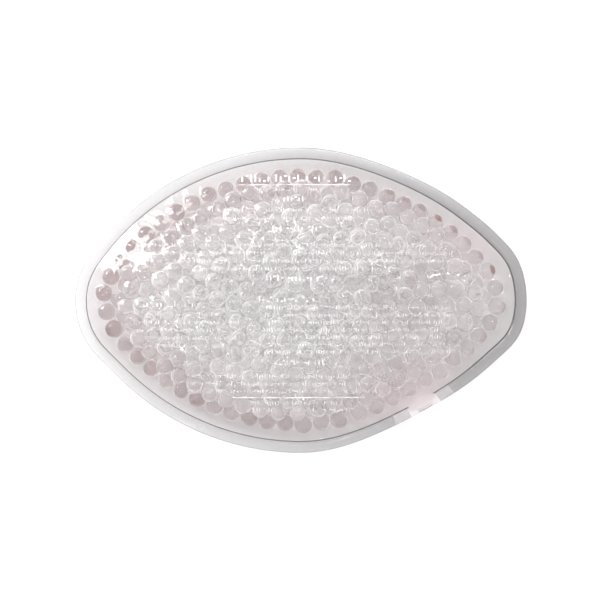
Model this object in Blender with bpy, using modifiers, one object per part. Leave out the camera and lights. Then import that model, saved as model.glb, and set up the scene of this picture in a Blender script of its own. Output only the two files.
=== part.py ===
"""A gel-bead eye pillow: a lens-shaped pouch of clear film, welded round its rim and filled with
soft water-gel beads. Metres, +Z up, lying on its back sheet, long axis along X, origin at the
middle of the face that it rests on."""

import math
import random

import bmesh
import bpy

# Driving dimensions, in metres.
LENGTH = 0.130
WIDTH = 0.0880
TIP_RADIUS = 0.0204
PILLOW_HEIGHT = 0.0155
FILM = 0.0003
RIM_WIDTH = 0.0031
RIM_THICKNESS = 0.0006
RIM_HEIGHT = 0.0036  # the middle of the welded rim, above the table
FLASH_DIAMETER = 0.0004  # the bead of melted film along the weld's inner edge
WELD_CLEARANCE = 0.0001
CLEARANCE = 0.0003
BEAD_DIAMETER = 0.0050
BEAD_COUNT = 54
BEAD_INSET = 0.0085  # from the outline to the middle of the outermost row of beads
BEAD_HEIGHT = 0.0038  # the middle of that row, above the table
BEAD_WANDER = 0.0003  # how far a bead of that row sits out of line

# Filled, the pillow's flanks pull in towards +X, more on the fill port's side. Each pull is a
# share of the half width, greatest at its middle, and gone at X = 0.
UPPER_PULL = 0.03
UPPER_MIDDLE = 0.030
LOWER_PULL = 0.09
LOWER_MIDDLE = 0.040

# The fill port is a gap in the main weld, closed by a wider weld of its own. Angles are about
# the centre of the lower arc, from straight down towards +X.
PORT_START = math.radians(25.5)
PORT_END = math.radians(33.0)
PORT_WIDTH = 0.0034
PORT_THICKNESS = 0.0005

# The films' shape inside the weld.
FRONT_SPREAD = 0.0142  # how gently the front sheet levels off
BACK_SPREAD = 0.0065  # how far in the back sheet meets the table
BACK_CURVE = 1.5
SHOULDER = 0.0130  # the rings follow the outline to here, and shrink towards the middle after
CROWN_CURVE = 2.0
CROWN_RINGS = (0.86, 0.68, 0.48, 0.28, 0.12)

# The lens outline is two wide arcs joined by two round tips.
HALF_LENGTH = LENGTH / 2
HALF_WIDTH = WIDTH / 2
TIP_X = HALF_LENGTH - TIP_RADIUS
ARC_RADIUS = (TIP_X**2 + HALF_WIDTH**2 - TIP_RADIUS**2) / (2 * (HALF_WIDTH - TIP_RADIUS))
ARC_Y = ARC_RADIUS - HALF_WIDTH
ARC_HALF_ANGLE = math.asin(TIP_X / (ARC_RADIUS - TIP_RADIUS))
ARC_STEPS = 22
TIP_STEPS = 8

WELD_LINE = RIM_WIDTH + WELD_CLEARANCE + FLASH_DIAMETER / 2
FILM_START = RIM_WIDTH + 2 * WELD_CLEARANCE + FLASH_DIAMETER
FRONT_RISE = PILLOW_HEIGHT - RIM_HEIGHT - FILM
BACK_DROP = RIM_HEIGHT - FILM

# Colour, roughness and how much light passes, for each finish.
FINISHES = {
    "film_clear": ((0.93, 0.93, 0.94), 0.08, 0.9),
    "weld_clear": ((0.80, 0.79, 0.80), 0.15, 0.8),
    "gel_rose": ((0.80, 0.62, 0.62), 0.05, 0.8),
    "gel_clear": ((0.90, 0.87, 0.87), 0.10, 0.8),
}


def clear_scene():
    for old in list(bpy.data.objects):
        bpy.data.objects.remove(old, do_unlink=True)


def make_material(name):
    colour, roughness, passes = FINISHES[name]
    material = bpy.data.materials.new(name)
    material.use_nodes = True
    shader = material.node_tree.nodes["Principled BSDF"]
    shader.inputs["Base Color"].default_value = (*colour, 1.0)
    shader.inputs["Roughness"].default_value = roughness
    shader.inputs["Transmission Weight"].default_value = passes
    shader.inputs["Metallic"].default_value = 0.0
    return material


def settled(x, y):
    """Where a point of the even lens lies on the filled pillow."""
    pull, middle = (UPPER_PULL, UPPER_MIDDLE) if y > 0 else (LOWER_PULL, LOWER_MIDDLE)
    away = min(1.0, abs(x / middle - 1))
    return (x, y * (1 - pull * (1 + math.cos(math.pi * away)) / 2))


def arc(centre, radius, start, end, steps):
    """Points from start up to, but not on, end."""
    for step in range(steps):
        angle = start + (end - start) * step / steps
        yield settled(centre[0] + radius * math.cos(angle), centre[1] + radius * math.sin(angle))


def outline(inset):
    """The lens outline, this far inside the cut edge, anticlockwise from the right tip's start."""
    up, down = math.pi / 2, -math.pi / 2
    wide, tip = ARC_RADIUS - inset, TIP_RADIUS - inset
    turn = ARC_HALF_ANGLE
    points = list(arc((TIP_X, 0), tip, down + turn, up - turn, TIP_STEPS))
    points += arc((0, -ARC_Y), wide, up - turn, up + turn, ARC_STEPS)
    points += arc((-TIP_X, 0), tip, up + turn, math.pi - down - turn, TIP_STEPS)
    points += arc((0, ARC_Y), wide, down - turn, down + turn, ARC_STEPS)
    return points


def lower_arc_point(inset, angle):
    """A point on the lower wide arc, at an angle from straight down towards +X."""
    radius = ARC_RADIUS - inset
    return settled(radius * math.sin(angle), ARC_Y - radius * math.cos(angle))


def front_height(inside):
    """The front sheet's inner face, this far inside the weld line."""
    return RIM_HEIGHT + FRONT_RISE * (1 - math.exp(-inside / FRONT_SPREAD))


def back_height(inside):
    """The back sheet's inner face, this far inside the weld line."""
    left = max(0.0, 1 - inside / BACK_SPREAD)
    return RIM_HEIGHT - BACK_DROP * (1 - left**BACK_CURVE)


def ring(inset, height):
    return [(x, y, height) for x, y in outline(inset)]


def crown(inset, height, top):
    """Rings that shrink from the outline at inset and climb smoothly to the top."""
    edge = outline(inset)
    for share in CROWN_RINGS:
        level = height + (top - height) * (1 - share**CROWN_CURVE)
        yield [(x * share, y * share, level) for x, y in edge]


def loft(name, rings, material, cap_start, cap_end):
    """A surface through rings of equal count, made of circles bridged in turn."""
    shape = bmesh.new()
    loops = []
    for number, points in enumerate(rings):
        capped = (number == 0 and cap_start) or (number == len(rings) - 1 and cap_end)
        made = bmesh.ops.create_circle(
            shape, segments=len(points), radius=HALF_WIDTH, cap_ends=capped
        )
        for corner, place in zip(made["verts"], points):
            corner.co = place
        loops.append(set(made["verts"]))
    for lower, upper in zip(loops, loops[1:]):
        edges = [
            edge
            for edge in shape.edges
            if set(edge.verts) <= lower or set(edge.verts) <= upper
        ]
        bmesh.ops.bridge_loops(shape, edges=edges)
    bmesh.ops.recalc_face_normals(shape, faces=shape.faces)
    mesh = bpy.data.meshes.new(name)
    shape.to_mesh(mesh)
    shape.free()
    mesh.shade_smooth()
    mesh.materials.append(material)
    return bpy.data.objects.new(name, mesh)


def face_normals(made, upwards):
    """Turns an open sheet so that its faces look up or down."""
    total = sum(face.normal.z * face.area for face in made.data.polygons)
    if (total > 0) != upwards:
        made.data.flip_normals()


def thicken(made):
    """Gives a sheet the film's thickness, on the side that it faces."""
    solid = made.modifiers.new("film", "SOLIDIFY")
    solid.thickness = FILM
    solid.offset = 1.0
    solid.use_even_offset = True


def front_film(material):
    insides = (0.0, 0.0015, 0.0032, 0.0055, 0.0090, SHOULDER)
    start = FILM_START - WELD_LINE
    rings = [ring(WELD_LINE + max(d, start), front_height(max(d, start))) for d in insides]
    rings += crown(WELD_LINE + SHOULDER, front_height(SHOULDER), RIM_HEIGHT + FRONT_RISE)
    made = loft("front_film", rings, material, False, True)
    face_normals(made, True)
    thicken(made)
    return made


def back_film(material):
    insides = (0.0, 0.0012, 0.0026, 0.0042, BACK_SPREAD)
    start = FILM_START - WELD_LINE
    rings = [ring(WELD_LINE + max(d, start), back_height(max(d, start))) for d in insides]
    made = loft("back_film", rings, material, False, True)
    face_normals(made, False)
    thicken(made)
    return made


def bead_bed(material):
    """The beads inside the outermost row, as one body of their outer shape."""
    side = BEAD_INSET + BEAD_DIAMETER / 2 + BEAD_WANDER + CLEARANCE
    round_over = 0.0012
    floor = FILM + CLEARANCE
    edge = front_height(side - WELD_LINE) - CLEARANCE
    shoulder = front_height(SHOULDER) - CLEARANCE
    rings = [
        ring(side + round_over, floor),
        ring(side, floor + round_over),
        ring(side, edge - round_over),
        ring(side + round_over, edge),
        ring(WELD_LINE + SHOULDER, shoulder),
    ]
    top = RIM_HEIGHT + FRONT_RISE - CLEARANCE
    rings += crown(WELD_LINE + SHOULDER, shoulder, top)
    return loft("bead_bed", rings, material, True, True)


def flat_strip(name, points, thickness, material):
    """A flat strip of the rim: a closed 2D outline, filled, at the rim's height."""
    curve = bpy.data.curves.new(name, "CURVE")
    curve.dimensions = "2D"
    curve.fill_mode = "BOTH"
    curve.extrude = thickness / 2
    spline = curve.splines.new("POLY")
    spline.points.add(len(points) - 1)
    for point, (x, y) in zip(spline.points, points):
        point.co = (x, y, 0.0, 1.0)
    spline.use_cyclic_u = True
    curve.materials.append(material)
    made = bpy.data.objects.new(name, curve)
    made.location.z = RIM_HEIGHT
    return made


def round_the_rim(inset, steps):
    """From the port's end anticlockwise round the pillow to its start, this far in."""
    up, down = math.pi / 2, -math.pi / 2
    wide, tip = ARC_RADIUS - inset, TIP_RADIUS - inset
    turn = ARC_HALF_ANGLE
    far = arc((0, ARC_Y), wide, down - turn, down + PORT_START, steps)
    points = list(arc((0, ARC_Y), wide, down + PORT_END, down + turn, steps // 3))
    points += arc((TIP_X, 0), tip, down + turn, up - turn, TIP_STEPS)
    points += arc((0, -ARC_Y), wide, up - turn, up + turn, steps)
    points += arc((-TIP_X, 0), tip, up + turn, math.pi - down - turn, TIP_STEPS)
    points += far
    points.append(lower_arc_point(inset, PORT_START))
    return points


def weld_rim(material):
    steps = 24
    points = round_the_rim(0.0, steps) + round_the_rim(RIM_WIDTH, steps)[::-1]
    return flat_strip("weld_rim", points, RIM_THICKNESS, material)


def port_weld(material):
    """The short weld that closes the fill port, a little wider than the rim's."""
    steps = 6
    margin = CLEARANCE / ARC_RADIUS
    first, last = PORT_START + margin, PORT_END - margin
    angles = [first + (last - first) * step / steps for step in range(steps + 1)]
    outer = [lower_arc_point(0.0, angle) for angle in angles]
    inner = [lower_arc_point(PORT_WIDTH, angle) for angle in reversed(angles)]
    return flat_strip("port_weld", outer + inner, PORT_THICKNESS, material)


def seam_flash(material):
    """The thin bead of melted film that stands along the weld's inner edge."""
    points = round_the_rim(WELD_LINE, 30)
    curve = bpy.data.curves.new("seam_flash", "CURVE")
    curve.dimensions = "3D"
    curve.bevel_depth = FLASH_DIAMETER / 2
    curve.bevel_resolution = 2
    curve.use_fill_caps = True
    spline = curve.splines.new("POLY")
    spline.points.add(len(points) - 1)
    for point, (x, y) in zip(spline.points, points):
        point.co = (x, y, RIM_HEIGHT, 1.0)
    curve.materials.append(material)
    return bpy.data.objects.new("seam_flash", curve)


def along_outline(inset, count):
    """Points evenly spaced along the outline, this far in, each with its way inwards."""
    turn = ARC_HALF_ANGLE
    tip_turn = math.pi - 2 * turn
    wide, tip = ARC_RADIUS - inset, TIP_RADIUS - inset
    arcs = (
        ((TIP_X, 0), tip, -tip_turn / 2, tip_turn),
        ((0, -ARC_Y), wide, math.pi / 2 - turn, 2 * turn),
        ((-TIP_X, 0), tip, math.pi - tip_turn / 2, tip_turn),
        ((0, ARC_Y), wide, -math.pi / 2 - turn, 2 * turn),
    )
    total = sum(radius * sweep for _, radius, _, sweep in arcs)
    for number in range(count):
        run = total * number / count
        for centre, radius, start, sweep in arcs:
            if run <= radius * sweep:
                break
            run -= radius * sweep
        angle = start + run / radius
        way = (-math.cos(angle), -math.sin(angle))
        yield settled(centre[0] - radius * way[0], centre[1] - radius * way[1]), way


def rim_beads(material):
    """The outermost row of beads, each its own object, wandering a little out of line."""
    chance = random.Random(7)
    ball = bmesh.new()
    bmesh.ops.create_icosphere(ball, subdivisions=2, radius=BEAD_DIAMETER / 2)
    mesh = bpy.data.meshes.new("gel_bead")
    ball.to_mesh(mesh)
    ball.free()
    mesh.shade_smooth()
    mesh.materials.append(material)
    beads = []
    for number, (place, way) in enumerate(along_outline(BEAD_INSET, BEAD_COUNT), start=1):
        wander = chance.uniform(0, BEAD_WANDER)
        bead = bpy.data.objects.new(f"bead_{number:02d}", mesh)
        bead.location = (*[at + to * wander for at, to in zip(place, way)], BEAD_HEIGHT)
        bead.rotation_euler = [chance.uniform(0, math.tau) for _ in range(3)]
        beads.append(bead)
    return beads


def main():
    clear_scene()
    materials = {name: make_material(name) for name in FINISHES}
    parts = [
        back_film(materials["film_clear"]),
        front_film(materials["film_clear"]),
        weld_rim(materials["weld_clear"]),
        port_weld(materials["weld_clear"]),
        seam_flash(materials["weld_clear"]),
        bead_bed(materials["gel_clear"]),
        *rim_beads(materials["gel_rose"]),
    ]
    pillow = bpy.data.collections.new("eye_pillow")
    bpy.context.scene.collection.children.link(pillow)
    for part in parts:
        pillow.objects.link(part)


main()
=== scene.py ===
import math

import bmesh
import bpy
import numpy as np
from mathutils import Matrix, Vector


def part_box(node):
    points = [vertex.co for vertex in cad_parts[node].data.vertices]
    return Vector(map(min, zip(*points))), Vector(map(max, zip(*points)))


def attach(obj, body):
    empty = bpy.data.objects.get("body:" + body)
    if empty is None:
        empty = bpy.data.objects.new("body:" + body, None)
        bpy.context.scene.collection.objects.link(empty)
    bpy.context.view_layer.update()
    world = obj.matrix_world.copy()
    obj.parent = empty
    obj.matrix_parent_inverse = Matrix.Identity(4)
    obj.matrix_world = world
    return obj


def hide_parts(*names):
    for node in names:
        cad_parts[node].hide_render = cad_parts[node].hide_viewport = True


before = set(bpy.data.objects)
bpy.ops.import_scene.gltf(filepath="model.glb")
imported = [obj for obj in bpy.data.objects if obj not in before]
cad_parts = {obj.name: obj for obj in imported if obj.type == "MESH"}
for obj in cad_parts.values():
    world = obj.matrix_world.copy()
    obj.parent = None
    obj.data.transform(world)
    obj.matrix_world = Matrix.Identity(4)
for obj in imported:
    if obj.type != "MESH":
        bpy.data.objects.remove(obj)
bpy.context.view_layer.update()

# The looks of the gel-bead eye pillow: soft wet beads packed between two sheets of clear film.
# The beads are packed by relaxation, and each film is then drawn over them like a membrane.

MM = 0.001

# The lens outline, as the CAD model has it: two wide arcs and two round tips, with the flanks
# pulled in towards +X.
rim_low, rim_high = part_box("weld_rim")
HALF_LENGTH = rim_high.x
HALF_WIDTH = rim_high.y
TIP_RADIUS = 20.4 * MM
TIP_X = HALF_LENGTH - TIP_RADIUS
ARC_RADIUS = (TIP_X**2 + HALF_WIDTH**2 - TIP_RADIUS**2) / (2 * (HALF_WIDTH - TIP_RADIUS))
ARC_Y = ARC_RADIUS - HALF_WIDTH
TURN = math.asin(TIP_X / (ARC_RADIUS - TIP_RADIUS))
UPPER_PULL, UPPER_MIDDLE = 0.03, 30 * MM
LOWER_PULL, LOWER_MIDDLE = 0.09, 40 * MM
# The fill port, as angles about the lower arc's centre, from straight down towards +X.
PORT_START, PORT_END = math.radians(25.5), math.radians(33.0)
PORT_LAP = math.radians(3.6)  # how far the port's own weld runs on over the main one
# Soft corners of the film at the tips: where they are, as shares of the way round, and how far
# they stand out.
CORNERS = ((0.034, 1.1 * MM), (0.062, 0.45 * MM), (0.970, 0.8 * MM), (0.535, 0.7 * MM))
CORNER_SPREAD = 0.019
SPACING_INSET = 6 * MM  # the inset at which shares of the way round are even lengths

FILM = 0.3 * MM
RIM_Z = (rim_low.z + rim_high.z) / 2
RIM_THICKNESS = rim_high.z - rim_low.z
WELD_INSET = 3.3 * MM
FLASH_RADIUS = 0.16 * MM
FLASH_LEAST, FLASH_GROWTH = 0.7, 0.6  # its thickness at the left tip, and what the right one adds
PORT_BLISTER = 2.2 * MM  # how far the films open outwards at the port
PORT_PARTING, PORT_PARTING_REACH = 0.45 * MM, 3 * MM
PORT_MIDDLE_INSET = 3.8 * MM
PORT_NARROWING, PORT_LIFT = 2.1 * MM, 0.2 * MM
CROWN_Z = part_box("front_film")[1].z - FILM
DOME_SPREAD = 14.2 * MM
DOME_GRID, DOME_ROUNDS = 1.2 * MM, 900
FLOOR_REACH = 6.5 * MM
BACK_CURVE = 1.5

BEAD_RADIUS = 2.5 * MM
RIM_BEADS = sorted(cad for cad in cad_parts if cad.startswith("bead_") and cad[5:].isdigit())
INNER_BEADS = 575
ROUNDNESS = 0.975  # beads are drawn this much smaller than they were packed, which keeps them round
BEAD_GROUPS = 16  # the pieces that the inner beads are shared out between
# The packing starts from inner beads this far in, this high, and this far under the front film.
FILL_INSET, FILL_BOTTOM, FILL_HEADROOM = 11.5 * MM, 2.8 * MM, 2.5 * MM
SIZE_SPREAD, SMALLEST, LARGEST = 0.03, 0.93, 1.07
PACKING_ROUNDS = 1300
# Beads grow from this share of their size to all of it, in this share of the rounds.
FIRST_SIZE, SIZE_GROWTH, GROWING_SHARE = 0.55, 0.45, 0.55
# How far they are shaken at first, and the share of the rounds in which that dies away.
SHAKE, SHAKING_SHARE = 0.075 * MM, 0.6
PUSH_SHARE, ROW_SLACK = 0.4, 0.85
PRESSED_IN, FILM_GAP = 0.12 * MM, 0.02 * MM
CONTACT_SHARPNESS = 26

GRID = 0.3 * MM
FRONT_SAG, FRONT_ROUNDS, BACK_ROUNDS = 110.0, 500, 300
FAR = 1.0  # a height in metres well beyond the pillow
PUCKER_HEIGHT, PUCKER_START, PUCKER_REACH = 0.07 * MM, 2 * MM, 4 * MM
CORE_RINGS, OUTER_RINGS = 80, 30  # the rings of a sheet's mesh, inside and outside CORE_INSET
CORE_INSET = 13 * MM


# ---- The outline ----

def bump(x, middle):
    """A smooth hump: 1 at the middle, and 0 from the pillow's centre back and from twice as far."""
    away = np.clip(np.abs(x / middle - 1), 0, 1)
    return (1 + np.cos(np.pi * away)) / 2


def squeeze(x, upper):
    """The share of an even lens's half width that the filled pillow keeps at x."""
    kept_above = 1 - UPPER_PULL * bump(x, UPPER_MIDDLE)
    kept_below = 1 - LOWER_PULL * bump(x, LOWER_MIDDLE)
    return np.where(upper, kept_above, kept_below)


def corner_push(share):
    """How far the outline stands out at the soft corners."""
    push = 0
    for where, height in CORNERS:
        away = np.mod(share - where + 0.5, 1) - 0.5
        push = push + height * np.exp(-((away / CORNER_SPREAD) ** 2))
    return push


def edge(share, inset):
    """Points this share of the way round the outline, this far in; 0 is the right tip."""
    half_tip = math.pi / 2 - TURN
    tip, wide = TIP_RADIUS - SPACING_INSET, ARC_RADIUS - SPACING_INSET
    # Each arc's centre, its radius, its radius at SPACING_INSET, its first angle and its sweep.
    arcs = (
        (TIP_X, 0, TIP_RADIUS, tip, 0, half_tip),
        (0, -ARC_Y, ARC_RADIUS, wide, half_tip, 2 * TURN),
        (-TIP_X, 0, TIP_RADIUS, tip, half_tip + 2 * TURN, 2 * half_tip),
        (0, ARC_Y, ARC_RADIUS, wide, math.pi + half_tip, 2 * TURN),
        (TIP_X, 0, TIP_RADIUS, tip, -half_tip, half_tip),
    )
    starts = np.cumsum([0] + [radius * sweep for _, _, _, radius, _, sweep in arcs])
    run = np.mod(share, 1) * starts[-1]
    which = np.clip(np.searchsorted(starts, run, side="right") - 1, 0, len(arcs) - 1)
    centre_x, centre_y, full, spaced, first, _ = np.array(arcs)[which].T
    angle = first + (run - starts[which]) / spaced
    radius = full - inset + corner_push(share)
    x = centre_x + radius * np.cos(angle)
    y = centre_y + radius * np.sin(angle)
    return x, y * squeeze(x, y > 0)


def port_share(angle):
    """The way round, as a share, of an angle on the lower arc from straight down."""
    tip = (TIP_RADIUS - SPACING_INSET) * (math.pi - 2 * TURN)
    wide = (ARC_RADIUS - SPACING_INSET) * 2 * TURN
    down = 1.5 * tip + 1.5 * wide
    return (down + (ARC_RADIUS - SPACING_INSET) * angle) / (2 * tip + 2 * wide)


def port_window(share):
    """1 over the middle of the fill port, falling to 0 at its ends."""
    first, last = port_share(PORT_START), port_share(PORT_END)
    along = np.clip((np.mod(share, 1) - first) / (last - first), 0, 1)
    return np.sqrt(np.sin(np.pi * along))


def port_swelling(x, y):
    """How much the films part at the port, which the beads went in by."""
    middle = np.array([port_share((PORT_START + PORT_END) / 2)])
    middle_x, middle_y = edge(middle, PORT_MIDDLE_INSET)
    away = (x - middle_x) ** 2 + (y - middle_y) ** 2
    return PORT_PARTING * np.exp(-away / PORT_PARTING_REACH**2)


def inset_of(x, y):
    """How far inside the outline a point lies."""
    x, y = np.abs(x), np.abs(y / squeeze(x, y > 0))
    by_wide = np.arctan2(x, y + ARC_Y) < TURN
    from_wide = ARC_RADIUS - np.hypot(x, y + ARC_Y)
    return np.where(by_wide, from_wide, TIP_RADIUS - np.hypot(x - TIP_X, y))


def rim_height(x, y):
    """The rim's middle, which waves a little as it goes round."""
    way = np.arctan2(y * HALF_LENGTH / HALF_WIDTH, x)
    wave = 0.16 * np.sin(3 * way + 0.8) + 0.12 * np.sin(5 * way + 2.1) + 0.08 * np.sin(11 * way)
    return RIM_Z + wave * MM


# ---- Height fields on a regular grid ----

class Field:
    """Heights on a regular grid over the pillow, read between its points by smooth curves."""

    def __init__(self, step):
        self.step = step
        self.nx = math.ceil(HALF_LENGTH / step) + 3
        self.ny = math.ceil(HALF_WIDTH / step) + 3
        xs = np.arange(-self.nx, self.nx + 1) * step
        ys = np.arange(-self.ny, self.ny + 1) * step
        self.x, self.y = np.meshgrid(xs, ys, indexing="ij")
        self.inside = inset_of(self.x, self.y) > WELD_INSET
        self.z = np.zeros_like(self.x)

    def at(self, x, y):
        u = np.clip(np.asarray(x) / self.step + self.nx, 1, 2 * self.nx - 2.001)
        v = np.clip(np.asarray(y) / self.step + self.ny, 1, 2 * self.ny - 2.001)
        i, j = u.astype(int), v.astype(int)
        along, across = catmull(u - i), catmull(v - j)
        total = 0
        for a in range(4):
            for b in range(4):
                total = total + along[a] * across[b] * self.z[i + a - 1, j + b - 1]
        return total

    def slope(self, x, y):
        reach = self.step / 2
        dx = (self.at(x + reach, y) - self.at(x - reach, y)) / (2 * reach)
        dy = (self.at(x, y + reach) - self.at(x, y - reach)) / (2 * reach)
        return dx, dy

    def draw(self, low, high, sag, rounds):
        """Pulls the heights tight inside the weld, between two limits, with a steady sag."""
        pull = sag * self.step**2 / 4
        inner = self.inside[1:-1, 1:-1]
        for _ in range(rounds):
            z = self.z
            mean = (z[2:, 1:-1] + z[:-2, 1:-1] + z[1:-1, 2:] + z[1:-1, :-2]) / 4 - pull
            mean = np.clip(mean, low[1:-1, 1:-1], high[1:-1, 1:-1])
            self.z[1:-1, 1:-1] = np.where(inner, mean, z[1:-1, 1:-1])


def catmull(t):
    """The Catmull-Rom weights of four points in a row, this far on from the second one."""
    return (
        ((2 - t) * t - 1) * t / 2,
        ((3 * t - 5) * t * t + 2) / 2,
        ((4 - 3 * t) * t + 1) * t / 2,
        (t - 1) * t * t / 2,
    )


def front_envelope():
    """The smooth dome that the front film would make over an even filling."""
    dome = Field(DOME_GRID)
    depth = np.maximum(inset_of(dome.x, dome.y) - WELD_INSET, 0)
    dome.z = 1 - np.exp(-depth / DOME_SPREAD)
    stay = (dome.step / DOME_SPREAD) ** 2
    inner = dome.inside[1:-1, 1:-1]
    for _ in range(DOME_ROUNDS):
        z = dome.z
        near = z[2:, 1:-1] + z[:-2, 1:-1] + z[1:-1, 2:] + z[1:-1, :-2]
        dome.z[1:-1, 1:-1] = np.where(inner, (near + stay) / (4 + stay), 0)
    dome.z = RIM_Z + (CROWN_Z - RIM_Z) * dome.z / dome.z.max()
    return dome


def back_envelope(x, y):
    """The back film's inner face: flat on the table, and curving up to the weld."""
    left = np.maximum(0, 1 - (inset_of(x, y) - WELD_INSET) / FLOOR_REACH)
    return RIM_Z - (RIM_Z - FILM) * (1 - left**BACK_CURVE)


# ---- Packing the beads ----

def pair_up(places, reach):
    """The pairs of beads whose middles are closer than this."""
    apart = np.linalg.norm(places[:, None] - places[None], axis=2)
    return np.nonzero(np.triu(apart < reach, 1))


def push_inside(places, radii, dome):
    """Moves beads back between the two films' envelopes."""
    x, y, z = places.T
    dx, dy = dome.slope(x, y)
    long = np.sqrt(1 + dx**2 + dy**2)
    over = np.minimum((dome.at(x, y) - z) / long - radii, 0) / long
    places += np.column_stack([-over * dx, -over * dy, over])
    x, y, z = places.T
    reach = 0.05 * MM
    floor = back_envelope(x, y)
    dx = (back_envelope(x + reach, y) - floor) / reach
    dy = (back_envelope(x, y + reach) - floor) / reach
    long = np.sqrt(1 + dx**2 + dy**2)
    under = np.minimum((z - floor) / long - radii, 0) / long
    places -= np.column_stack([-under * dx, -under * dy, under])


def pack_beads(dome):
    """Places and radii of all the beads, the outermost row first."""
    chance = np.random.default_rng(11)
    boxes = [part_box(node) for node in RIM_BEADS]
    row = np.array([[(low[k] + high[k]) / 2 for k in range(3)] for low, high in boxes])
    filled = []
    while len(filled) < INNER_BEADS:
        x, y = chance.uniform(-1, 1, 2) * (HALF_LENGTH, HALF_WIDTH)
        if inset_of(x, y) < FILL_INSET:
            continue
        filled.append((x, y, chance.uniform(FILL_BOTTOM, dome.at(x, y) - FILL_HEADROOM)))
    places = np.vstack([row, filled])
    sizes = np.clip(chance.normal(1, SIZE_SPREAD, len(places)), SMALLEST, LARGEST)
    radii = BEAD_RADIUS * sizes
    for turn in range(PACKING_ROUNDS):
        if turn % 10 == 0:
            one, two = pair_up(places, 2.5 * BEAD_RADIUS)
        grown = FIRST_SIZE + SIZE_GROWTH * turn / (GROWING_SHARE * PACKING_ROUNDS)
        size = radii * min(1, grown)
        between = places[one] - places[two]
        apart = np.linalg.norm(between, axis=1) + 1e-9
        over = np.maximum(size[one] + size[two] - apart, 0)
        push = between * (PUSH_SHARE * over / apart)[:, None]
        move = np.zeros_like(places)
        np.add.at(move, one, push)
        np.add.at(move, two, -push)
        places += move
        shake = SHAKE * max(0, 1 - turn / (SHAKING_SHARE * PACKING_ROUNDS))
        places += chance.normal(0, 1, places.shape) * shake
        places[: len(row)] = row + (places[: len(row)] - row) * ROW_SLACK
        push_inside(places, size, dome)
    return places, radii


# ---- The films' shapes over the beads ----

def bead_skin(field, places, radii, side):
    """The beads' tops (side 1) or bottoms (side -1) over the grid, pressed in a little."""
    skin = np.full(field.z.shape, -side * FAR)
    for (x, y, z), radius in zip(places, radii):
        i0, i1 = (int((x + s * radius) / field.step) + field.nx for s in (-1, 1))
        j0, j1 = (int((y + s * radius) / field.step) + field.ny for s in (-1, 1))
        near = (slice(i0, i1 + 2), slice(j0, j1 + 2))
        far = (field.x[near] - x) ** 2 + (field.y[near] - y) ** 2
        cap = z + side * (np.sqrt(np.maximum(radius**2 - far, 0)) - PRESSED_IN)
        cap = np.where(far < radius**2, cap, -side * FAR)
        skin[near] = np.maximum(skin[near], cap) if side > 0 else np.minimum(skin[near], cap)
    return skin


def puckers(x, y):
    """Low folds that run in from the weld, where the flat film was made to bulge."""
    depth = inset_of(x, y) - WELD_INSET
    reach = np.clip(depth / PUCKER_START, 0, 1) * np.exp(-np.maximum(depth, 0) / PUCKER_REACH)
    way = np.arctan2(y * HALF_LENGTH / HALF_WIDTH, x)
    fold = np.sin(37 * way + 2 * np.sin(5 * way)) + 0.7 * np.sin(61 * way + 3 * np.sin(3 * way))
    return PUCKER_HEIGHT * reach * (fold + 1.7)  # never below the drawn film


def drawn_films(dome, places, radii):
    """The inner faces of the front and back films."""
    front, back = Field(GRID), Field(GRID)
    rim = rim_height(front.x, front.y)
    parting = port_swelling(front.x, front.y)
    front.z = np.where(front.inside, dome.at(front.x, front.y), rim + parting)
    tops = bead_skin(front, places, radii, 1)
    front.draw(tops, np.full_like(tops, FAR), FRONT_SAG, FRONT_ROUNDS)
    front.z += puckers(front.x, front.y)
    back.z = np.where(back.inside, back_envelope(back.x, back.y), rim - parting)
    bottoms = bead_skin(back, places, radii, -1)
    back.draw(np.full_like(bottoms, FILM), np.maximum(bottoms, FILM), 0.0, BACK_ROUNDS)
    return front, back


# ---- Mesh building ----

def mesh_object(name, points, faces, material, tints=None):
    """A smooth-shaded piece, with a tint at each point if its material reads one."""
    mesh = bpy.data.meshes.new(name)
    mesh.from_pydata(np.asarray(points).tolist(), [], [list(face) for face in faces])
    mesh.shade_smooth()
    if tints is not None:
        layer = mesh.color_attributes.new("tint", "FLOAT_COLOR", "POINT")
        layer.data.foreach_set("color", np.column_stack([tints, np.ones(len(tints))]).ravel())
    mesh.materials.append(material)
    made = bpy.data.objects.new(name, mesh)
    bpy.context.scene.collection.objects.link(made)
    return made


def lens_lattice():
    """A square lattice bent onto the lens: each square ring of it follows the outline."""
    rings = CORE_RINGS + OUTER_RINGS
    i, j = np.meshgrid(np.arange(-rings, rings + 1), np.arange(-rings, rings + 1), indexing="ij")
    i, j = i.ravel(), j.ravel()
    k = np.maximum(np.abs(i), np.abs(j))
    run = np.select([i == k, j == k, i == -k], [j, 2 * k - i, 4 * k - j], 6 * k + i)
    share = run / np.maximum(8 * k, 1)
    outwards = np.clip((k - CORE_RINGS) / OUTER_RINGS, 0, 1)
    border_inset = WELD_INSET - PORT_BLISTER * port_window(share)
    x, y = edge(share, CORE_INSET - (CORE_INSET - border_inset) * outwards)
    scale = np.minimum(k / CORE_RINGS, 1)
    side = 2 * rings + 1
    index = np.arange(side * side).reshape(side, side)
    quads = np.stack([index[:-1, :-1], index[1:, :-1], index[1:, 1:], index[:-1, 1:]], axis=-1)
    border = np.concatenate([index[:-1, 0], index[-1, :-1], index[:0:-1, -1], index[0, :0:-1]])
    return x * scale, y * scale, quads.reshape(-1, 4), border


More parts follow.
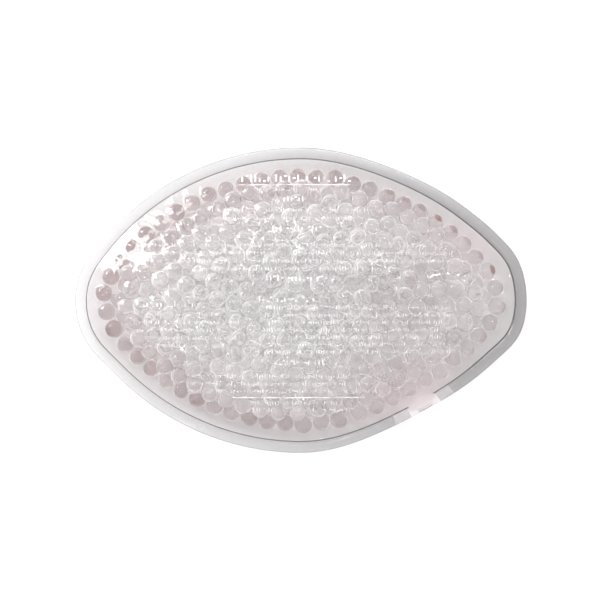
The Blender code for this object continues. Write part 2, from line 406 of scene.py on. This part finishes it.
def film_sheet(name, field, side, material):
    """A film as a thin closed shell: its inner face lies on the field."""
    x, y, quads, border = lens_lattice()
    inner = np.column_stack([x, y, field.at(x, y)])
    dx, dy = field.slope(x, y)
    away = side * np.column_stack([-dx, -dy, np.ones_like(dx)])
    away /= np.linalg.norm(away, axis=1)[:, None]
    outer = inner + away * FILM
    if side < 0:
        outer[:, 2] = np.maximum(outer[:, 2], 0)
    count = len(x)
    after = np.roll(border, -1)
    cut = np.column_stack([border, after, after + count, border + count])
    faces = np.vstack([quads + count, quads[:, ::-1], cut])
    if side < 0:
        faces = faces[:, ::-1]
    tints = np.tile(film_tint(x, y), (2, 1))
    return mesh_object(name, np.vstack([inner, outer]), faces, material, tints)


def ball():
    """A unit ball's points and faces."""
    shape = bmesh.new()
    bmesh.ops.create_icosphere(shape, subdivisions=4, radius=1)
    points = np.array([corner.co[:] for corner in shape.verts])
    faces = np.array([[corner.index for corner in face.verts] for face in shape.faces])
    shape.free()
    return points, faces


def pressed_beads(places, radii, front, back):
    """Each bead's points: a ball flattened wherever it presses on a neighbour or a film."""
    ways, faces = ball()
    one, two = pair_up(places, 2.2 * BEAD_RADIUS)
    contacts = [[] for _ in places]
    for a, b in zip(one, two):
        between = places[b] - places[a]
        apart = np.linalg.norm(between)
        if apart > radii[a] + radii[b]:
            continue
        to_a = (apart**2 + radii[a] ** 2 - radii[b] ** 2) / (2 * apart)
        contacts[a].append((between / apart, to_a))
        contacts[b].append((-between / apart, apart - to_a))
    for field, side in ((front, 1), (back, -1)):
        x, y, z = places.T
        dx, dy = field.slope(x, y)
        normals = side * np.column_stack([-dx, -dy, np.ones_like(dx)])
        normals /= np.linalg.norm(normals, axis=1)[:, None]
        away = side * (field.at(x, y) - z) * np.abs(normals[:, 2]) - FILM_GAP
        for number, distance in enumerate(away):
            if distance < radii[number]:
                contacts[number].append((normals[number], distance))
    shaped = []
    for centre, radius, touching in zip(places, ROUNDNESS * radii, contacts):
        press = np.ones(len(ways))
        for way, distance in touching:
            toward = np.maximum(ways @ way, 0) * radius / max(distance, 0.5 * radius)
            press += toward**CONTACT_SHARPNESS
        shaped.append(centre + ways * (radius * press ** (-1 / CONTACT_SHARPNESS))[:, None])
    return shaped, faces


# How far in the beads are rosiest, and how quickly that fades; the weld's liquid; the patches of
# painted red reflection on the rim beads.
ROSY_INSET, ROSY_REACH = 9 * MM, 4.5 * MM
LIQUID_REACH = 6 * MM
PATCH_FROM, PATCH_SOFTNESS = 0.75, 0.09
# Where the rosy liquid gathers: how much, the middle, and the reaches along and across.
POOLS = ((1, 29 * MM, -26 * MM, 17 * MM, 9 * MM), (0.7, 51 * MM, 18 * MM, 9 * MM, 8 * MM))


def bead_tints(places):
    """Each bead's colour: rosy along the rim, most on the left, and nearly clear in the middle."""
    chance = np.random.default_rng(5)
    x, y = places[:, 0], places[:, 1]
    depth = np.maximum(inset_of(x, y) - ROSY_INSET, 0)
    leftwards = 0.5 - 0.5 * (0.9 * x - 0.45 * y) / HALF_LENGTH
    rosy = np.exp(-depth / ROSY_REACH) * (0.18 + 0.95 * leftwards**1.3)
    rosy *= chance.uniform(0.65, 1.3, len(x))
    rosy *= 1 - 0.75 * pool(x, y)
    towards_right = np.exp(-(((x - 35 * MM) / (16 * MM)) ** 2) - (y / (13 * MM)) ** 2)
    rosy += 0.16 * towards_right * chance.uniform(0.5, 1.3, len(x))
    rosy += chance.uniform(0, 0.09, len(x))
    cloudier = chance.uniform(0.96, 1.03, (len(x), 1))
    return blend(PALE_GEL, ROSE_GEL, np.clip(rosy, 0, 1)) * cloudier


def painted_red_reflection(centre, points, tint, strength):
    """A rim bead's tints at its points, with a painted reflection: a patch of its upper, outer side
    is painted red, for a red thing reflected there.
    """
    ways = (points - centre) / np.linalg.norm(points - centre, axis=1)[:, None]
    out = np.array([centre[0] / HALF_LENGTH**2, centre[1] / HALF_WIDTH**2, 0])
    out = 0.8 * out / np.linalg.norm(out) + (0, 0, 0.6)
    patch = np.clip((ways @ out - PATCH_FROM) / PATCH_SOFTNESS, 0, 1) * strength
    return (1 - patch)[:, None] * tint + patch[:, None] * np.array(REFLECTED_RED)


def red_reflection_strengths(places):
    """How strong each rim bead's painted red reflection is: most on two beads at the upper right
    and one at the tip.
    """
    chance = np.random.default_rng(8)
    way = np.arctan2(places[:, 1] / HALF_WIDTH, places[:, 0] / HALF_LENGTH)
    most = 0.5 * np.exp(-(((way - 0.85) / 0.45) ** 2)) * (chance.random(len(way)) < 0.55)
    most += np.exp(-(((way - 0.69) / 0.09) ** 2)) + np.exp(-(((way - 0.26) / 0.07) ** 2))
    return np.clip(most + 0.35 * chance.random(len(way)) ** 2, 0, 1)


# ---- Materials ----

PALE_GEL = (0.932, 0.930, 0.932)
ROSE_GEL = (0.60, 0.50, 0.502)
# Painted reflection: the red of a red thing reflected on some rim beads' upper, outer sides.
REFLECTED_RED = (0.24, 0.025, 0.02)
CLEAR_FILM = (0.99, 0.99, 0.99)
ROSY_FILM = (0.932, 0.926, 0.928)
# Painted shadow: towards the right tip, the film by the weld greys to this tint, standing in for
# the pillow's shadow on the table.
PAINTED_SHADOW_FILM = (0.925, 0.922, 0.921)
POOL_FILM = (0.958, 0.936, 0.94)
CLEAR_WELD = (0.845, 0.845, 0.847)
# Painted shadow: towards the right tip, the weld greys to this tint, standing in for the pillow's
# shadow on the table under it.
PAINTED_SHADOW_WELD = (0.625, 0.62, 0.625)
CLEAR_PORT = (0.98, 0.975, 0.98)
ROSY_PORT = (0.90, 0.87, 0.875)


def blend(first, second, share):
    """Rows of colours, this share of the way from the first to the second."""
    return np.outer(1 - share, first) + np.outer(share, second)


def film_tint(x, y):
    """The sheets' tint: clear over the beads, and rosy near the weld, where liquid gathers; there a
    painted shadow also greys it towards the right tip.
    """
    near = np.exp(-((np.maximum(inset_of(x, y) - WELD_INSET, 0) / LIQUID_REACH) ** 2))[:, None]
    pooled = 0.9 * pool(x, y)[:, None]
    tint = (1 - near) * np.array(CLEAR_FILM) + near * blend(ROSY_FILM, PAINTED_SHADOW_FILM, greyer(x, y))
    return (1 - pooled) * tint + pooled * np.array(POOL_FILM)


def pool(x, y):
    """How much rosy liquid gathers here: most at the lower right, some at the upper right."""
    return sum(
        most * np.exp(-(((x - middle_x) / along) ** 2) - ((y - middle_y) / across) ** 2)
        for most, middle_x, middle_y, along, across in POOLS
    )


def weld_tint(x, y):
    """The main weld's tint, with a painted shadow: it greys towards the right tip, standing in for
    the pillow's shadow on the table under the clear weld.
    """
    return blend(CLEAR_WELD, PAINTED_SHADOW_WELD, greyer(x, y))


def greyer(x, y):
    """0 at the left tip and 1 at the right one, climbing fastest close to the right. It sets how
    much painted shadow greys the weld and the film by it, and how much thicker the flash line is.
    """
    way = np.clip(0.5 + 0.5 * (0.99 * x + 0.14 * y) / HALF_LENGTH, 0, 1)
    return 0.7 * way + 0.3 * way**8


def new_material(name):
    """A material with an empty node tree, and that tree."""
    material = bpy.data.materials.new(name)
    material.use_nodes = True
    tree = material.node_tree
    tree.nodes.clear()
    return material, tree


def node(tree, kind, **settings):
    """A new shader node, with its own settings and its sockets' values."""
    made = tree.nodes.new(kind)
    for key, value in settings.items():
        if hasattr(made, key):
            setattr(made, key, value)
        else:
            made.inputs[key.replace("_", " ")].default_value = value
    return made


def clear_film(name, haze, roughness):
    """Clear glossy film: what is behind it shows through, under a Fresnel gloss and a faint haze.

    Its tint is its mesh's own."""
    material, tree = new_material(name)
    link = tree.links.new
    out = node(tree, "ShaderNodeOutputMaterial")
    through = node(tree, "ShaderNodeBsdfTransparent")
    tint = node(tree, "ShaderNodeAttribute", attribute_name="tint")
    gloss = node(tree, "ShaderNodeBsdfGlossy", Roughness=roughness)
    milk = node(tree, "ShaderNodeBsdfDiffuse", Color=(0.9, 0.87, 0.88, 1))
    fresnel = node(tree, "ShaderNodeFresnel", IOR=1.5)
    facing = node(tree, "ShaderNodeNewGeometry")
    entering = node(tree, "ShaderNodeMath", operation="SUBTRACT")
    entering.inputs[0].default_value = 1.0
    shine = node(tree, "ShaderNodeMath", operation="MULTIPLY")
    hazy = node(tree, "ShaderNodeMixShader", Fac=haze)
    shiny = node(tree, "ShaderNodeMixShader")
    coords = node(tree, "ShaderNodeTexCoord")
    ripple = node(tree, "ShaderNodeTexNoise", Scale=260.0, Detail=3.0)
    bump_map = node(tree, "ShaderNodeBump", Strength=0.12, Distance=0.0004)
    link(tint.outputs["Color"], through.inputs["Color"])
    link(coords.outputs["Object"], ripple.inputs["Vector"])
    link(ripple.outputs["Fac"], bump_map.inputs["Height"])
    link(bump_map.outputs["Normal"], gloss.inputs["Normal"])
    link(bump_map.outputs["Normal"], fresnel.inputs["Normal"])
    link(through.outputs[0], hazy.inputs[1])
    link(milk.outputs[0], hazy.inputs[2])
    link(facing.outputs["Backfacing"], entering.inputs[1])
    link(fresnel.outputs[0], shine.inputs[0])
    link(entering.outputs[0], shine.inputs[1])
    link(shine.outputs[0], shiny.inputs["Fac"])
    link(hazy.outputs[0], shiny.inputs[1])
    link(gloss.outputs[0], shiny.inputs[2])
    link(shiny.outputs[0], out.inputs["Surface"])
    return material


def gel(name, ior, skin):
    """Wet water gel, coloured by each bead's own tint. Skin is how much its outline whitens,
    in arcs that come and go round each bead."""
    material, tree = new_material(name)
    link = tree.links.new
    out = node(tree, "ShaderNodeOutputMaterial")
    shader = node(tree, "ShaderNodeBsdfPrincipled", Roughness=0.02, IOR=ior)
    shader.inputs["Transmission Weight"].default_value = 0.96
    sheen = node(tree, "ShaderNodeBsdfDiffuse", Color=(0.95, 0.95, 0.95, 1))
    aslant = node(tree, "ShaderNodeLayerWeight", Blend=0.1)
    outline = node(tree, "ShaderNodeMath", operation="MULTIPLY", use_clamp=True)
    patches = node(tree, "ShaderNodeTexNoise", Scale=230.0, Detail=1.0)
    broken = node(tree, "ShaderNodeMapRange")
    broken.inputs["From Min"].default_value = 0.38
    broken.inputs["From Max"].default_value = 0.62
    broken.inputs["To Min"].default_value = 0.25 * skin
    broken.inputs["To Max"].default_value = 1.35 * skin
    ringed = node(tree, "ShaderNodeMixShader")
    tint = node(tree, "ShaderNodeAttribute", attribute_name="tint")
    coords = node(tree, "ShaderNodeTexCoord")
    dimples = node(tree, "ShaderNodeTexNoise", Scale=700.0, Detail=2.0)
    bump_map = node(tree, "ShaderNodeBump", Strength=0.75, Distance=0.0002)
    link(coords.outputs["Object"], dimples.inputs["Vector"])
    link(dimples.outputs["Fac"], bump_map.inputs["Height"])
    link(bump_map.outputs["Normal"], shader.inputs["Normal"])
    link(tint.outputs["Color"], shader.inputs["Base Color"])
    link(coords.outputs["Object"], patches.inputs["Vector"])
    link(patches.outputs["Fac"], broken.inputs["Value"])
    link(aslant.outputs["Facing"], outline.inputs[0])
    link(broken.outputs["Result"], outline.inputs[1])
    link(outline.outputs[0], ringed.inputs["Fac"])
    link(shader.outputs[0], ringed.inputs[1])
    link(sheen.outputs[0], ringed.inputs[2])
    link(ringed.outputs[0], out.inputs["Surface"])
    return material


def plain(name, colour, roughness):
    """An opaque material of one colour."""
    material, tree = new_material(name)
    out = node(tree, "ShaderNodeOutputMaterial")
    shader = node(tree, "ShaderNodeBsdfPrincipled", Roughness=roughness)
    shader.inputs["Base Color"].default_value = (*colour, 1)
    tree.links.new(shader.outputs[0], out.inputs["Surface"])
    return material


def worn_ink():
    """Thin white ink, rubbed half away in places."""
    material, tree = new_material("worn_ink")
    link = tree.links.new
    out = node(tree, "ShaderNodeOutputMaterial")
    ink = node(tree, "ShaderNodeBsdfDiffuse", Color=(0.95, 0.95, 0.95, 1))
    through = node(tree, "ShaderNodeBsdfTransparent")
    coords = node(tree, "ShaderNodeTexCoord")
    wear = node(tree, "ShaderNodeTexNoise", Scale=420.0, Detail=4.0)
    cover = node(tree, "ShaderNodeMapRange")
    cover.inputs["From Min"].default_value = 0.35
    cover.inputs["From Max"].default_value = 0.6
    cover.inputs["To Min"].default_value = 0.2
    cover.inputs["To Max"].default_value = 0.85
    inked = node(tree, "ShaderNodeMixShader")
    link(coords.outputs["Object"], wear.inputs["Vector"])
    link(wear.outputs["Fac"], cover.inputs["Value"])
    link(cover.outputs["Result"], inked.inputs["Fac"])
    link(through.outputs[0], inked.inputs[1])
    link(ink.outputs[0], inked.inputs[2])
    link(inked.outputs[0], out.inputs["Surface"])
    return material


# ---- The pieces ----

PORT_FROM, PORT_TO = port_share(PORT_START), port_share(PORT_END)


def band(name, shares, profile, narrowing, lift, colour, material):
    """A flat welded band with rounded edges, which ends where its stretch of the outline does.

    Its profile is a list of insets in millimetres and heights in half thicknesses, narrowing is
    how much each station's inner part moves outwards, and colour gives its tints at x and y."""
    rings, tints = [], []
    for inset, level in profile:
        x, y = edge(shares, inset * MM - narrowing * (inset > 1))
        rings.append(np.column_stack([x, y, rim_height(x, y) + lift + level * RIM_THICKNESS / 2]))
        cut_edge = 0.8 if inset < 0.2 else 1
        tints.append(colour(x, y) * cut_edge)
    stations, count = len(shares), len(profile)
    start = np.arange(stations - 1)
    faces = []
    for k in range(count):
        a, b = k * stations, (k + 1) % count * stations
        faces += np.column_stack([a + start, a + start + 1, b + start + 1, b + start]).tolist()
    first = [k * stations for k in range(count)]
    faces += [first, [corner + stations - 1 for corner in reversed(first)]]
    return mesh_object(name, np.vstack(rings), faces, material, np.vstack(tints))


def rim_band(material):
    """The main weld, which runs round from one end of the port to the other."""
    shares = np.linspace(PORT_TO, PORT_FROM + 1, 1400)
    profile = ((0, 0), (0.12, 0.8), (0.35, 1), (1.5, 1), (3.25, 1), (3.25, -1), (1.5, -1),
               (0.35, -1), (0.12, -0.8))
    return band("rim_band", shares, profile, np.zeros(len(shares)), 0, weld_tint, material)


def port_band(material):
    """The port's own weld: it laps over the main weld at both ends and is narrow between them."""
    shares = np.linspace(port_share(PORT_START - PORT_LAP), port_share(PORT_END + PORT_LAP), 160)
    profile = ((0.1, 0), (0.2, 0.5), (0.4, 0.6), (2.2, 0.6), (3.2, 0.6), (3.2, -0.3), (0.2, -0.3))
    opening = port_window(shares)

    def colour(x, y):
        return blend(CLEAR_PORT, ROSY_PORT, opening)

    narrowing = PORT_NARROWING * opening
    return band("port_band", shares, profile, narrowing, PORT_LIFT, colour, material)


def flash_line(material):
    """The thin bead of melt along the main weld's inner edge, thicker towards the right tip."""
    shares = np.linspace(PORT_TO - 0.002, PORT_FROM + 1.002, 900)
    x, y = edge(shares, WELD_INSET)
    curve = bpy.data.curves.new("flash_line", "CURVE")
    curve.dimensions = "3D"
    curve.bevel_depth = FLASH_RADIUS
    curve.bevel_resolution = 2
    curve.use_fill_caps = True
    spline = curve.splines.new("POLY")
    spline.points.add(len(shares) - 1)
    middles = np.column_stack([x, y, rim_height(x, y)])
    for point, middle, thicker in zip(spline.points, middles, greyer(x, y)):
        point.co = (*middle, 1)
        point.radius = FLASH_LEAST + FLASH_GROWTH * thicker
    curve.materials.append(material)
    made = bpy.data.objects.new("flash_line", curve)
    bpy.context.scene.collection.objects.link(made)
    return made


# ---- The printing: rows of plain strokes, which say nothing ----

HEADING = dict(stroke=0.28 * MM, pitch=1.05 * MM, height=1.5 * MM)
TITLE = dict(stroke=0.40 * MM, pitch=1.25 * MM, height=2.1 * MM)
BODY = dict(stroke=0.15 * MM, pitch=0.72 * MM, height=1.0 * MM)
RULE = dict(stroke=0.18 * MM, pitch=1.5 * MM, height=0.18 * MM)
BAR_SHARE = 0.6  # this many of the strokes are upright bars, and the rest are dashes
BAR_TOPS = (0.2, 0.5)  # in heights above the line's middle, like the dashes' levels
DASH_LEVELS = (-0.4, 0, 0.3)
DASH_LENGTH, WORD_GAP = 0.6, 0.8  # in pitches
INK, INK_LIFT = 0.03 * MM, 0.02 * MM

# Each block of printing: its style, its left and right ends, its first line's middle, how many
# lines it has and how far apart they are, all in millimetres.
BLOCKS = (
    (TITLE, -16.9, 13.7, 34.9, 1, 0), (RULE, -18.9, 12.8, 32.9, 1, 0),
    (BODY, -14.5, 10.8, 31.6, 1, 0), (HEADING, -4.8, 2.2, 28.8, 1, 0),
    (BODY, -26.1, 20.6, 25.6, 2, 2.5), (HEADING, -7.9, 6.2, 20.2, 1, 0),
    (BODY, -47.4, 44.5, 15.6, 3, 2.25), (BODY, -30.0, 27.0, 8.9, 1, 0),
    (HEADING, -9.6, 7.6, 6.2, 1, 0),
    (HEADING, -46.8, -30.2, -1.2, 1, 0), (BODY, -47.4, -16.3, -4.0, 5, 2.25),
    (HEADING, -11.7, 3.9, 0.3, 1, 0), (BODY, -10.8, 44.5, -2.1, 7, 2.08),
    (HEADING, -7.1, 7.1, -17.6, 1, 0), (BODY, -32.7, 28.7, -21.5, 3, 2.2),
    (RULE, -19.2, 18.0, -27.7, 1, 0), (BODY, -17.4, 18.0, -29.2, 2, 2.0),
)


def stroke_row(style, left, right, middle, chance):
    """One line's strokes, as left, right, low and high: groups of upright bars and dashes."""
    strokes = []
    thick, wide, tall = style["stroke"], style["pitch"], style["height"]
    x = left
    while x < right:
        for _ in range(chance.integers(2, 9)):
            if style is RULE:
                strokes.append((x, x + wide, middle - tall / 2, middle + tall / 2))
            elif chance.random() < BAR_SHARE:
                top = tall * chance.choice(BAR_TOPS)
                strokes.append((x, x + thick, middle - tall / 2, middle + top))
            else:
                level = middle + tall * chance.choice(DASH_LEVELS)
                strokes.append((x, x + DASH_LENGTH * wide, level - thick / 2, level + thick / 2))
            x += wide
        if style is not RULE:
            x += WORD_GAP * wide
    return [stroke for stroke in strokes if stroke[0] < right]


def print_marks(field, material):
    """Thin ink strokes on the front film's outer face."""
    chance = np.random.default_rng(3)
    strokes = []
    for style, left, right, first, lines, pitch in BLOCKS:
        for line in range(lines):
            ends = left, right
            if style is BODY:
                ends = left + chance.uniform(0, 2), right - chance.uniform(0, 7)
            middle = (first - line * pitch) * MM
            strokes += stroke_row(style, ends[0] * MM, ends[1] * MM, middle, chance)
    x0, x1, y0, y1 = np.array(strokes).T
    x = np.stack([x0, x1, x1, x0], axis=1)
    y = np.stack([y0, y0, y1, y1], axis=1)
    dx, dy = field.slope(x, y)
    z = field.at(x, y) + FILM * np.sqrt(1 + dx**2 + dy**2) + INK_LIFT
    under = np.stack([x, y, z], axis=2)
    over = np.stack([x, y, z + INK], axis=2)
    points = np.concatenate([under, over], axis=1).reshape(-1, 3)
    box = np.array([(3, 2, 1, 0), (4, 5, 6, 7), (0, 1, 5, 4), (1, 2, 6, 5), (2, 3, 7, 6),
                    (3, 0, 4, 7)])
    faces = (box[None] + 8 * np.arange(len(strokes))[:, None, None]).reshape(-1, 4)
    marks = mesh_object("print_marks", points, faces, material)
    marks.data.shade_flat()
    marks.visible_shadow = False
    marks.visible_transmission = False
    return marks


# ---- Assembly ----

def place(piece, slot, *nodes):
    """Says that a piece rides on the pillow, and hides the CAD nodes it stands for. The slot
    argument is not used.
    """
    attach(piece, "root")
    if nodes:
        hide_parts(*nodes)


dome = front_envelope()
places, radii = pack_beads(dome)
front, back = drawn_films(dome, places, radii)

film = clear_film("clear_film", 0.03, 0.05)
weld = clear_film("welded_film", 0.05, 0.12)
front_sheet = film_sheet("front_sheet", front, 1, film)
back_sheet = film_sheet("back_sheet", back, -1, film)
place(front_sheet, "film_clear", "front_film")
place(back_sheet, "film_clear", "back_film")
place(rim_band(weld), "weld_clear", "weld_rim")
place(port_band(clear_film("port_film", 0.18, 0.12)), "weld_clear", "port_weld")
place(flash_line(plain("flash", (0.08, 0.075, 0.078), 0.5)), "weld_clear", "seam_flash")
place(print_marks(front, worn_ink()), "film_clear")

shaped, ball_faces = pressed_beads(places, radii, front, back)
tints = bead_tints(places)
rose_gel, pale_gel = gel("rose_gel", 1.35, 1.5), gel("pale_gel", 1.3, 1.7)


def inner_group(name, members):
    """Some of the inner beads as one piece."""
    size = len(shaped[0])
    points = np.vstack([shaped[member] for member in members])
    faces = np.vstack([ball_faces + size * k for k in range(len(members))])
    return mesh_object(name, points, faces, pale_gel, np.repeat(tints[members], size, axis=0))


red_reflections = red_reflection_strengths(places[: len(RIM_BEADS)])
for number, cad in enumerate(RIM_BEADS):
    patchy = painted_red_reflection(places[number], shaped[number], tints[number], red_reflections[number])
    bead = mesh_object(f"rim_{cad}", shaped[number], ball_faces, rose_gel, patchy)
    place(bead, "gel_rose", cad)
inner = np.arange(len(RIM_BEADS), len(places))
inner = inner[np.argsort(places[inner, 0])]
for group, members in enumerate(np.array_split(inner, BEAD_GROUPS), start=1):
    place(inner_group(f"inner_beads_{group:02d}", members), "gel_clear", "bead_bed")


# ---- Stage, light and camera ----

FLOOR_SIZE, FLOOR_DROP = 3, 0.1 * MM  # the drop keeps it clear of the film that lies on it
WORLD_STRENGTH = 1.14
LENS, VIEW_WIDTH, CAMERA_X = 100, 172.8 * MM, -0.15 * MM
BOUNCES, DIFFUSE_BOUNCES = 64, 8


def stage_floor():
    bpy.ops.mesh.primitive_plane_add(size=FLOOR_SIZE)
    floor = bpy.context.object
    floor.name = "floor"
    floor.location.z = -FLOOR_DROP
    floor.data.materials.append(plain("floor", (0.93, 0.93, 0.93), 0.7))


def window_light(name, azimuth, elevation, size, radiance):
    """An evenly bright window half a metre away, in this direction from the pillow."""
    data = bpy.data.lights.new(name, "AREA")
    data.shape = "RECTANGLE"
    data.size, data.size_y = size
    data.energy = radiance * math.pi * size[0] * size[1]
    around, up = math.radians(azimuth), math.radians(elevation)
    way = Vector((math.cos(around) * math.cos(up), math.sin(around) * math.cos(up), math.sin(up)))
    light = bpy.data.objects.new(name, data)
    light.location = way / 2
    light.rotation_euler = way.to_track_quat("Z", "Y").to_euler()
    bpy.context.scene.collection.objects.link(light)


def world_light():
    """White light all round, a little darker and warmer at the horizon."""
    world = bpy.data.worlds.new("studio")
    world.use_nodes = True
    tree = world.node_tree
    background = tree.nodes["Background"]
    coords = node(tree, "ShaderNodeTexCoord")
    split = node(tree, "ShaderNodeSeparateXYZ")
    ramp = node(tree, "ShaderNodeValToRGB")
    ramp.color_ramp.elements[0].position = 0.0
    ramp.color_ramp.elements[0].color = (0.62, 0.56, 0.55, 1)
    ramp.color_ramp.elements[1].position = 0.6
    ramp.color_ramp.elements[1].color = (1, 1, 1, 1)
    tree.links.new(coords.outputs["Generated"], split.inputs[0])
    tree.links.new(split.outputs["Z"], ramp.inputs["Fac"])
    tree.links.new(ramp.outputs["Color"], background.inputs["Color"])
    background.inputs["Strength"].default_value = WORLD_STRENGTH
    bpy.context.scene.world = world


def top_camera():
    """A camera straight above, which sees VIEW_WIDTH across at the weld's height."""
    data = bpy.data.cameras.new("camera")
    data.lens = LENS
    camera = bpy.data.objects.new("camera", data)
    camera.location = (CAMERA_X, 0, RIM_Z + VIEW_WIDTH * data.lens / data.sensor_width)
    bpy.context.scene.collection.objects.link(camera)
    bpy.context.scene.camera = camera


stage_floor()
world_light()
window_light("left_window", 146, 26, (0.14, 0.26), 14)
window_light("far_window", 126, 28, (0.06, 0.12), 8)
window_light("ceiling_strip", 80, 66, (0.35, 0.02), 8)
window_light("near_strip", 235, 70, (0.02, 0.25), 4)
window_light("far_lamp", 100, 62, (0.02, 0.02), 250)
window_light("near_lamp", 215, 60, (0.015, 0.015), 250)
window_light("right_lamp", 18, 55, (0.015, 0.015), 200)
top_camera()
bpy.context.scene.view_settings.view_transform = "Standard"
cycles = bpy.context.scene.cycles
cycles.max_bounces = BOUNCES
cycles.transmission_bounces = BOUNCES
cycles.glossy_bounces = BOUNCES
cycles.diffuse_bounces = DIFFUSE_BOUNCES
cycles.transparent_max_bounces = BOUNCES
cycles.blur_glossy = 0  # blurred gel loses half the light that crosses the beads
